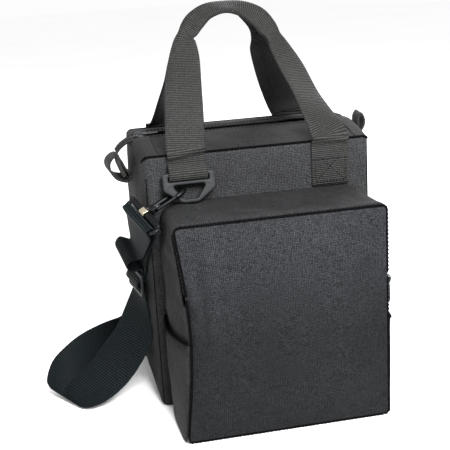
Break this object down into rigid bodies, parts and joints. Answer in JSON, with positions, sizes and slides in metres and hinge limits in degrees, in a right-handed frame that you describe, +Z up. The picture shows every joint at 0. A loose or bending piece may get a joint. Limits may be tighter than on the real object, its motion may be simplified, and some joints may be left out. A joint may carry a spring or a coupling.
{
  "type": "flight bag",
  "caption": "Soft upright flight bag with a zipped padded compartment, a zipped box pocket, webbing carrying handles and a clip-on shoulder strap.",
  "frame": {"origin": "on the floor under the middle of the main compartment", "axes": "+X right seen from the pocket side, -Y pocket side, +Z up"},
  "size_m": [0.3623, 0.309, 0.3981],
  "materials": {
    "shell_cloth": "woven cordura-type cloth, matt",
    "lining_cloth": "smooth lining cloth",
    "foam": "closed-cell foam sheet",
    "board": "plastic stiffener board",
    "handle_webbing": "ribbed webbing, slightly olive",
    "strap_webbing": "ribbed webbing, dark grey",
    "zip_tape": "zip tape with coil teeth",
    "moulded_plastic": "satin moulded acetal",
    "zip_metal": "satin metal"
  },
  "bodies": {
    "bag": {"base_board": "board", "foam_back": "foam", "foam_front": "foam", "foam_left": "foam", "foam_right": "foam", "front_anchor_patch": "handle_webbing", "front_ring_tab": "handle_webbing", "front_swivel_collar": "zip_metal", "front_swivel_loop": "moulded_plastic", "lining_tub": "lining_cloth", "main_back_panel": "shell_cloth", "main_bottom_panel": "shell_cloth", "main_front_panel": "shell_cloth", "main_left_side": "shell_cloth", "main_right_side": "shell_cloth", "pocket_binding_left": "shell_cloth", "pocket_binding_right": "shell_cloth", "pocket_bottom_panel": "shell_cloth", "pocket_front_lower": "shell_cloth", "pocket_gusset_left": "shell_cloth", "pocket_gusset_right": "shell_cloth", "pocket_gusset_top": "shell_cloth", "pocket_zip_end_left": "zip_tape", "pocket_zip_end_right": "zip_tape", "pocket_zip_half_rear": "zip_tape", "rear_anchor_patch": "handle_webbing", "rear_ring_tab": "handle_webbing", "rear_swivel_collar": "zip_metal", "rear_swivel_loop": "moulded_plastic", "slip_pocket_left": "shell_cloth", "slip_pocket_right": "shell_cloth", "strap_floor_run": "strap_webbing", "strap_front_loop": "strap_webbing", "strap_front_run": "strap_webbing", "strap_rear_run": "strap_webbing", "top_end_left": "shell_cloth", "top_end_right": "shell_cloth", "tri_glide": "moulded_plastic", "zip_end_left": "zip_tape", "zip_end_right": "zip_tape", "zip_tab_left": "handle_webbing", "zip_tab_right": "handle_webbing"},
    "front_handle": {"front_handle": "handle_webbing"},
    "rear_handle": {"rear_handle": "handle_webbing"},
    "top_front": {"top_panel_front": "shell_cloth", "main_zip_half_front": "zip_tape"},
    "top_rear": {"top_panel_rear": "shell_cloth", "main_zip_half_rear": "zip_tape"},
    "main_slider": {"main_zip_slider": "zip_metal"},
    "main_pull": {"main_zip_pull": "zip_metal"},
    "pocket_flap": {"pocket_front_flap": "shell_cloth", "pocket_zip_half_front": "zip_tape"},
    "pocket_slider": {"pocket_zip_slider": "zip_metal"},
    "pocket_pull": {"pocket_zip_pull": "zip_metal"},
    "front_ring": {"front_ring": "moulded_plastic"},
    "rear_ring": {"rear_ring": "moulded_plastic"},
    "front_hook": {"front_hook": "zip_metal"},
    "rear_hook": {"rear_hook": "zip_metal"},
    "front_gate": {"front_gate": "zip_metal"},
    "rear_gate": {"rear_gate": "zip_metal"}
  },
  "joints": [
    {"name": "front_handle_swing", "type": "hinge", "parent": "bag", "child": "front_handle", "pos_m": [0, -0.0771, 0.2606], "axis": [1, 0, 0], "range_deg": [0, 120]},
    {"name": "rear_handle_swing", "type": "hinge", "parent": "bag", "child": "rear_handle", "pos_m": [0, 0.0771, 0.2606], "axis": [1, 0, 0], "range_deg": [-120, 0]},
    {"name": "top_front_fold", "type": "hinge", "parent": "bag", "child": "top_front", "pos_m": [0, -0.074, 0.265], "axis": [1, 0, 0], "range_deg": [-60, 0]},
    {"name": "top_rear_fold", "type": "hinge", "parent": "bag", "child": "top_rear", "pos_m": [0, 0.074, 0.265], "axis": [1, 0, 0], "range_deg": [0, 60]},
    {"name": "main_zip_run", "type": "slide", "parent": "bag", "child": "main_slider", "axis": [1, 0, 0], "range_m": [0, 0.2]},
    {"name": "main_pull_flip", "type": "hinge", "parent": "main_slider", "child": "main_pull", "pos_m": [-0.108, 0, 0.27385], "axis": [0, -1, 0], "range_deg": [0, 170]},
    {"name": "pocket_flap_fold", "type": "hinge", "parent": "bag", "child": "pocket_flap", "pos_m": [0, -0.16, 0.1475], "axis": [1, 0, 0], "range_deg": [0, 150]},
    {"name": "pocket_zip_run", "type": "slide", "parent": "bag", "child": "pocket_slider", "axis": [0, 0, 1], "range_m": [0, 0.05]},
    {"name": "pocket_pull_lift", "type": "hinge", "parent": "pocket_slider", "child": "pocket_pull", "pos_m": [0.1041, -0.152, 0.141], "axis": [0, -1, 0], "range_deg": [0, 160]},
    {"name": "front_ring_swing", "type": "hinge", "parent": "bag", "child": "front_ring", "pos_m": [-0.072, -0.082, 0.2465], "axis": [1, 0, 0], "range_deg": [-4, 4]},
    {"name": "rear_ring_swing", "type": "hinge", "parent": "bag", "child": "rear_ring", "pos_m": [0.072, 0.082, 0.2465], "axis": [1, 0, 0], "range_deg": [-4, 4]},
    {"name": "front_hook_swivel", "type": "hinge", "parent": "bag", "child": "front_hook", "pos_m": [-0.1173, -0.0934, 0.2138], "axis": [0.8899, 0.173, 0.422], "range_deg": [-10, 10]},
    {"name": "rear_hook_swivel", "type": "hinge", "parent": "bag", "child": "rear_hook", "pos_m": [0.0806, 0.094, 0.1891], "axis": [-0.2502, -0.1201, 0.9607], "range_deg": [-10, 10]},
    {"name": "front_gate_press", "type": "hinge", "parent": "front_hook", "child": "front_gate", "pos_m": [-0.10499, -0.10009, 0.22021], "axis": [-0.4367, 0.0568, 0.8978], "range_deg": [0, 12], "stiffness_Nm_per_rad": 0.02, "springref_deg": -17.19},
    {"name": "rear_gate_press", "type": "hinge", "parent": "rear_hook", "child": "rear_gate", "pos_m": [0.07677, 0.10142, 0.20204], "axis": [0.965, 0.0496, 0.2575], "range_deg": [0, 12], "stiffness_Nm_per_rad": 0.02, "springref_deg": -17.19}
  ]
}
